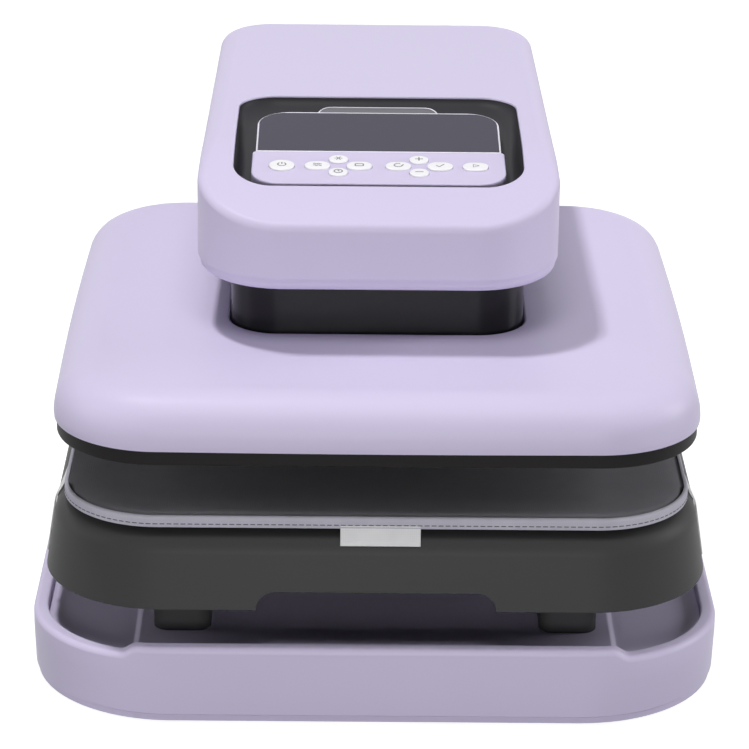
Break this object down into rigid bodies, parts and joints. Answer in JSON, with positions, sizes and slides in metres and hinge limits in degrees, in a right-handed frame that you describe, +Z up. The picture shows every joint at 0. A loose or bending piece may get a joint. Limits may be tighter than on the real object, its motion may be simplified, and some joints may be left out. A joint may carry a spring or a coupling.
{
  "type": "heat press",
  "caption": "Automatic heat press: motor-driven heated platen under an overhanging head comes down on a padded mat that lies on a pull-out drawer.",
  "frame": {"origin": "on the floor under the middle of the base", "axes": "+X right as seen by the user, +Y to the back, +Z up"},
  "size_m": [0.459, 0.516, 0.3396],
  "materials": {
    "lavender_plastic": "satin moulded plastic",
    "graphite_plastic": "matte moulded plastic",
    "black_gloss": "polished black plastic",
    "black_plastic": "matte black plastic",
    "smoked_lens": "smoked clear plastic",
    "white_buttons": "satin white plastic",
    "pale_grip": "satin silver plastic",
    "board": "printed board",
    "steel": "zinc plated",
    "aluminium": "plain",
    "coated_aluminium": "dark non-stick coat",
    "bronze": "turned",
    "mat_cloth": "silver-grey woven cover",
    "white_cloth": "plain woven",
    "feet_rubber": "matte"
  },
  "bodies": {
    "housing": {"base_cover": "lavender_plastic", "base_pan": "lavender_plastic", "rubber_feet": "feet_rubber", "frame_plates": "steel", "floor_plate": "steel", "frame_ties": "steel", "crosshead": "steel", "column_front_cover": "lavender_plastic", "column_back_cover": "lavender_plastic", "power_inlet": "black_plastic", "switch_frame": "black_plastic", "head_top_cover": "lavender_plastic", "head_bottom_cover": "lavender_plastic", "neck": "black_gloss", "panel_bezel": "graphite_plastic", "grip_scoop": "pale_grip", "control_console": "lavender_plastic", "display_lens": "smoked_lens", "display_module": "board", "control_board": "board", "screw_bearing": "steel", "drive_belt": "feet_rubber", "gear_motor": "steel", "guide_bushes": "bronze", "support_posts": "graphite_plastic", "slide_outer": "steel", "drawer_sensor": "black_plastic", "power_board": "board"},
    "drawer": {"drawer_shell": "graphite_plastic", "deck_plate": "aluminium", "press_mat": "mat_cloth", "mat_straps": "white_cloth", "mat_tag": "white_cloth", "slide_inner": "steel"},
    "slide_members": {"slide_middle": "steel"},
    "platen": {"platen_cover": "lavender_plastic", "platen_rim": "black_plastic", "heat_plate": "coated_aluminium", "heater_tube": "aluminium", "insulation": "white_cloth", "press_standoffs": "steel", "cover_standoffs": "aluminium", "temperature_probe": "aluminium", "press_carriage": "steel", "lead_nut": "bronze", "guide_posts": "steel"},
    "spindle": {"lead_screw": "steel", "screw_pulley": "aluminium"},
    "motor_shaft": {"motor_pulley": "aluminium"},
    "rocker": {"power_rocker": "graphite_plastic"},
    "power_button": {"power_button": "white_buttons"},
    "left_pad_left": {"left_pad_left": "white_buttons"},
    "left_pad_back": {"left_pad_back": "white_buttons"},
    "left_pad_front": {"left_pad_front": "white_buttons"},
    "left_pad_right": {"left_pad_right": "white_buttons"},
    "right_pad_left": {"right_pad_left": "white_buttons"},
    "right_pad_back": {"right_pad_back": "white_buttons"},
    "right_pad_front": {"right_pad_front": "white_buttons"},
    "right_pad_right": {"right_pad_right": "white_buttons"},
    "start_button": {"start_button": "white_buttons"}
  },
  "joints": [
    {"name": "drawer_slide", "type": "slide", "parent": "housing", "child": "drawer", "axis": [0, -1, 0], "range_m": [0, 0.28]},
    {"name": "slide_run", "type": "slide", "parent": "housing", "child": "slide_members", "axis": [0, -1, 0], "range_m": [0, 0.14]},
    {"name": "platen_press", "type": "slide", "parent": "housing", "child": "platen", "axis": [0, 0, -1], "range_m": [0, 0.034]},
    {"name": "spindle_turn", "type": "hinge", "parent": "housing", "child": "spindle", "pos_m": [0, -0.033, 0.28], "axis": [0, 0, 1], "range_deg": [0, 1531]},
    {"name": "motor_turn", "type": "hinge", "parent": "housing", "child": "motor_shaft", "pos_m": [0, 0.2225, 0.28], "axis": [0, 0, 1], "range_deg": [0, 1531]},
    {"name": "rocker_tilt", "type": "hinge", "parent": "housing", "child": "rocker", "pos_m": [-0.046, 0.252, 0.098], "axis": [1, 0, 0], "range_deg": [0, 18]},
    {"name": "power_button_press", "type": "slide", "parent": "housing", "child": "power_button", "axis": [0, 0.1045, -0.9945], "range_m": [0, 0.0007], "stiffness_N_per_m": 1000},
    {"name": "left_pad_left_press", "type": "slide", "parent": "housing", "child": "left_pad_left", "axis": [0, 0.1045, -0.9945], "range_m": [0, 0.0007], "stiffness_N_per_m": 1000},
    {"name": "left_pad_back_press", "type": "slide", "parent": "housing", "child": "left_pad_back", "axis": [0, 0.1045, -0.9945], "range_m": [0, 0.0007], "stiffness_N_per_m": 1000},
    {"name": "left_pad_front_press", "type": "slide", "parent": "housing", "child": "left_pad_front", "axis": [0, 0.1045, -0.9945], "range_m": [0, 0.0007], "stiffness_N_per_m": 1000},
    {"name": "left_pad_right_press", "type": "slide", "parent": "housing", "child": "left_pad_right", "axis": [0, 0.1045, -0.9945], "range_m": [0, 0.0007], "stiffness_N_per_m": 1000},
    {"name": "right_pad_left_press", "type": "slide", "parent": "housing", "child": "right_pad_left", "axis": [0, 0.1045, -0.9945], "range_m": [0, 0.0007], "stiffness_N_per_m": 1000},
    {"name": "right_pad_back_press", "type": "slide", "parent": "housing", "child": "right_pad_back", "axis": [0, 0.1045, -0.9945], "range_m": [0, 0.0007], "stiffness_N_per_m": 1000},
    {"name": "right_pad_front_press", "type": "slide", "parent": "housing", "child": "right_pad_front", "axis": [0, 0.1045, -0.9945], "range_m": [0, 0.0007], "stiffness_N_per_m": 1000},
    {"name": "right_pad_right_press", "type": "slide", "parent": "housing", "child": "right_pad_right", "axis": [0, 0.1045, -0.9945], "range_m": [0, 0.0007], "stiffness_N_per_m": 1000},
    {"name": "start_button_press", "type": "slide", "parent": "housing", "child": "start_button", "axis": [0, 0.1045, -0.9945], "range_m": [0, 0.0007], "stiffness_N_per_m": 1000}
  ],
  "couplings": [
    {"joint": "slide_run", "follows": "drawer_slide", "ratio": 0.5},
    {"joint": "spindle_turn", "follows": "platen_press", "rad_per_m": 785.4},
    {"joint": "motor_turn", "follows": "platen_press", "rad_per_m": 785.4}
  ]
}
